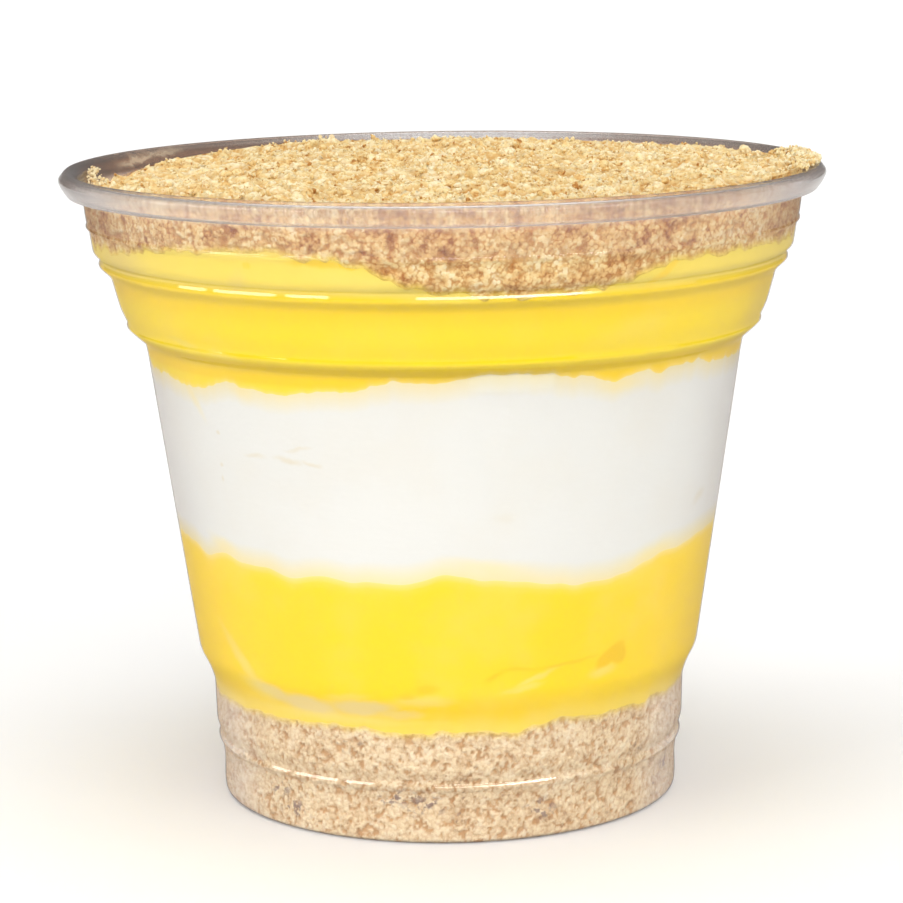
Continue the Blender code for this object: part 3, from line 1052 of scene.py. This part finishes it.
def lumps(count, blobs, subdivisions, seed):
    """Knobbly lumps of about unit radius, as (points, triangles), each the hull of a few blobs."""
    rng = np.random.default_rng(seed)
    made = []
    for _ in range(count):
        shape = bmesh.new()
        bmesh.ops.create_icosphere(shape, subdivisions=subdivisions, radius=1.0)
        shape.verts.ensure_lookup_table()
        ways = np.array([corner.co.normalized() for corner in shape.verts])
        faces = np.array([[corner.index for corner in face.verts] for face in shape.faces])
        shape.free()
        middles = rng.normal(size=(blobs, 3))
        middles *= rng.uniform(0.35, 0.75, size=(blobs, 1)) / np.linalg.norm(middles, axis=1, keepdims=True)
        radii = rng.uniform(0.22, 0.5, size=blobs)
        middles = np.concatenate([middles, [[0.0, 0.0, 0.0]]])
        radii = np.concatenate([radii, [0.45]])
        along = ways @ middles.T
        under = radii**2 - (middles**2).sum(axis=1) + along**2
        reach = np.where(under > 0, along + np.sqrt(np.maximum(under, 0)), 0).max(axis=1)
        made.append((ways * reach[:, None], faces))
    return made


def random_turns(rng, count):
    """Rotation matrices spread evenly over all turns."""
    q = rng.normal(size=(count, 4))
    w, x, y, z = (q / np.linalg.norm(q, axis=1, keepdims=True)).T
    rows = [
        [1 - 2 * (y * y + z * z), 2 * (x * y - z * w), 2 * (x * z + y * w)],
        [2 * (x * y + z * w), 1 - 2 * (x * x + z * z), 2 * (y * z - x * w)],
        [2 * (x * z - y * w), 2 * (y * z + x * w), 1 - 2 * (x * x + y * y)],
    ]
    return np.array(rows).transpose(2, 0, 1)


def scatter(name, spots, radii, tones, shapes, material, seed):
    """One joined mesh of lumps, each at its spot, turned at random."""
    rng = np.random.default_rng(seed)
    turns = random_turns(rng, len(spots))
    stretch = rng.uniform(0.7, 1.25, size=(len(spots), 3))
    kinds = rng.integers(len(shapes), size=len(spots))
    all_points = []
    all_faces = []
    all_tones = []
    start = 0
    for spot, radius, tone, turn, squeeze, kind in zip(spots, radii, tones, turns, stretch, kinds):
        points, faces = shapes[kind]
        all_points.append((points * squeeze * radius) @ turn.T + spot)
        all_faces.append(faces + start)
        all_tones.append(np.full(len(points), tone))
        start += len(points)
    tones = np.concatenate(all_tones)
    attributes = {"tone": tones, "crease_shade": np.full(len(tones), LOOSE_CREASE_SHADE)}
    mesh = new_mesh(name, np.concatenate(all_points), [np.concatenate(all_faces)], attributes)
    new_piece(name, mesh, material)


def heap_spots(rng, radii, lift):
    """Spots on the heap for lumps of these radii, clear of the cup's wall."""
    out = np.sqrt(rng.random(len(radii))) * (filling_radius(HEAP_LEVEL) - 0.4 - radii)
    turn = rng.random(len(radii)) * 2 * math.pi
    x = out * np.cos(turn)
    y = out * np.sin(turn)
    z = heap_height(x, y) + heap_relief(x, y)[0] + lift * radii
    return np.stack([x, y, z], axis=1)


RIM_CREST = 78.75  # about half a millimetre above the rolled rim


def spilled_spots(rng, radii):
    """Spots where crumb has spilled onto the rim at the right."""
    azimuth = np.clip(rng.normal(88.0, 8.0, size=len(radii)), 70.0, 101.0)
    out = rng.uniform(42.3, 46.4, size=len(radii))
    lift = rng.random(len(radii)) * (0.1 - 1.3 * np.clip(44.2 - out, 0.0, 1.0))
    return ring(out, RIM_CREST + 0.7 * radii + lift, azimuth)


def stuck_spots(rng, radii):
    """Spots where a few crumbs stick to the inside of the rim at the left."""
    azimuth = rng.normal(-97.0, 3.2, size=len(radii))
    height = 75.9 + 2.2 * rng.random(len(radii)) ** 1.4
    out = 43.75 + (height - 76.2) * 0.5 - radii * 0.75
    return ring(out, height, azimuth)


LOOSE_SEED = 51
LOOSE_KINDS = (
    # name, lumps, radii, blobs and subdivisions of a lump, lift in radii, mean and spread of tone
    ("loose_clumps", 200, (0.55, 1.0), 14, 3, 0.1, (0.28, 0.24)),
    ("loose_crumbs", 2300, (0.24, 0.55), 7, 2, 0.15, (0.27, 0.29)),
    ("loose_grains", 7500, (0.14, 0.30), 3, 1, 0.3, (0.34, 0.30)),
)
BROWNED_SHARE = 0.05  # of the loose crumb is browned, and this much darker in tone
BROWNED_TONE = 0.5
RIM_SEED = 61
RIM_KINDS = (
    # name, spots, lumps, radii, mean and spread of tone
    ("spilled_crumbs", spilled_spots, 420, (0.2, 0.48), (0.25, 0.2)),
    ("stuck_crumbs", stuck_spots, 90, (0.14, 0.4), (0.0, 0.12)),
)


def make_loose_crumb(material):
    for seed, (name, count, radii, blobs, subdivisions, lift, tone) in enumerate(LOOSE_KINDS, LOOSE_SEED):
        rng = np.random.default_rng(seed)
        sizes = radii[0] + (radii[1] - radii[0]) * rng.random(count) ** 2
        tones = rng.normal(*tone, size=count) + BROWNED_TONE * (rng.random(count) < BROWNED_SHARE)
        shapes = lumps(14, blobs, subdivisions, seed)
        scatter(name, heap_spots(rng, sizes, lift), sizes, tones, shapes, material, seed)


def make_rim_crumb(material):
    rng = np.random.default_rng(RIM_SEED)
    for seed, (name, spots, count, radii, tone) in enumerate(RIM_KINDS, RIM_SEED):
        sizes = rng.uniform(*radii, size=count)
        tones = rng.normal(*tone, size=count)
        shapes = lumps(12, 6, 2, seed)
        scatter(name, spots(rng, sizes), sizes, tones, shapes, material, seed)


# ---- Stage ----


def world_light():
    """Soft studio light from above and all round, with long soft lights before and beside the cup."""
    world = bpy.data.worlds.new("studio")
    world.use_nodes = True
    bpy.context.scene.world = world
    tree = world.node_tree
    way = add(tree, "ShaderNodeTexCoord").outputs["Generated"]
    parts = add(tree, "ShaderNodeSeparateXYZ", {0: way}).outputs
    azimuth = calc(tree, "ARCTAN2", parts["X"], times(tree, parts["Y"], -1.0))
    elevation = calc(tree, "ARCSINE", parts["Z"])
    overhead = smooth_step(tree, elevation, *(math.radians(limit) for limit in OVERHEAD_SPAN))
    total = calc(tree, "MULTIPLY_ADD", overhead, OVERHEAD_STRENGTH, SKY_STRENGTH)
    for middle, half_width, low, high, strength in SOFT_LIGHTS:
        patch = strength
        spans = ((azimuth, middle, half_width), (elevation, (low + high) / 2, (high - low) / 2))
        for value, centre, reach in spans:
            away = calc(tree, "ABSOLUTE", calc(tree, "SUBTRACT", value, math.radians(centre)))
            outer = math.radians(reach + LIGHT_SOFTNESS)
            inner = math.radians(reach - LIGHT_SOFTNESS)
            patch = times(tree, patch, smooth_step(tree, away, outer, inner))
        total = calc(tree, "ADD", total, patch)
    background = tree.nodes["Background"]
    socket(tree, background.inputs["Strength"], total)
    background.inputs["Color"].default_value = LIGHT_COLOR


def make_floor():
    bpy.ops.mesh.primitive_plane_add(size=FLOOR_SIZE, location=(0.0, 0.0, FLOOR_HEIGHT * MM))
    floor = bpy.context.active_object
    floor.name = "floor"
    material, _, shader = new_material("pale_floor", 0.9, 0.1)
    shader.inputs["Base Color"].default_value = (0.95, 0.95, 0.95, 1.0)
    floor.data.materials.append(material)


def make_camera():
    data = bpy.data.cameras.new("camera")
    data.lens = CAMERA_LENS
    data.sensor_width = CAMERA_SENSOR
    camera = bpy.data.objects.new("camera", data)
    bpy.context.scene.collection.objects.link(camera)
    pitch, yaw, roll = (math.radians(angle) for angle in (CAMERA_PITCH, CAMERA_YAW, CAMERA_ROLL))
    ahead = Vector((math.sin(yaw) * math.cos(pitch), math.cos(yaw) * math.cos(pitch), -math.sin(pitch)))
    level = Vector((math.cos(yaw), -math.sin(yaw), 0.0))
    upright = level.cross(ahead)
    right = level * math.cos(roll) + upright * math.sin(roll)
    up = upright * math.cos(roll) - level * math.sin(roll)
    turn = Matrix((right, up, -ahead)).transposed()
    place = Vector((0.0, -CAMERA_DISTANCE, CAMERA_HEIGHT)) * MM
    camera.matrix_world = Matrix.Translation(place) @ turn.to_4x4()
    bpy.context.scene.camera = camera


# ---- The scene ----


def main():
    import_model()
    bpy.context.scene.view_settings.view_transform = "Standard"
    make_camera()
    make_floor()
    world_light()
    make_cup()
    make_crumb_base()
    make_lower_curd()
    make_cream()
    make_upper_curd()
    crumb = make_crumb_top()
    make_loose_crumb(crumb)
    make_rim_crumb(crumb)


main()
